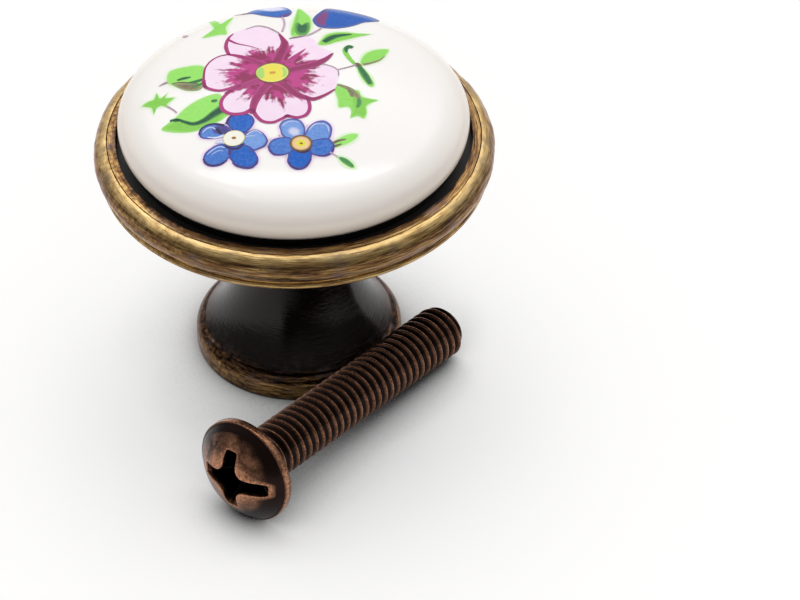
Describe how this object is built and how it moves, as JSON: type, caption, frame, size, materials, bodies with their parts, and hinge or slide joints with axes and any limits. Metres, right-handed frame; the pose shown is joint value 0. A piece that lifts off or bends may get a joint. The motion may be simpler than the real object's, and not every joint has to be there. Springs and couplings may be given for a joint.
{
  "type": "cabinet knob",
  "caption": "Round cabinet knob: brass-finished foot and beaded cup holding a domed china insert printed with flowers, with its loose pan head mounting screw.",
  "frame": {"origin": "centre of the foot's flat bottom, where the axis of the tapped hole meets it", "axes": "+Z along the knob's axis, from the foot to the crown of the insert; +X and +Y as the picture shows the knob, seen from -Y"},
  "size_m": [0.0284, 0.0358, 0.0228],
  "materials": {
    "antique_brass": "antique brass plate, rubbed",
    "dark_adhesive": "cured dark adhesive",
    "glazed_china": "clear gloss glaze over a printed spray of flowers",
    "antique_copper": "antique copper plate over steel, rubbed"
  },
  "bodies": {
    "root": {"knob_body": "antique_brass", "adhesive_bed": "dark_adhesive", "ceramic_insert": "glazed_china", "mounting_screw": "antique_copper"}
  },
  "joints": []
}
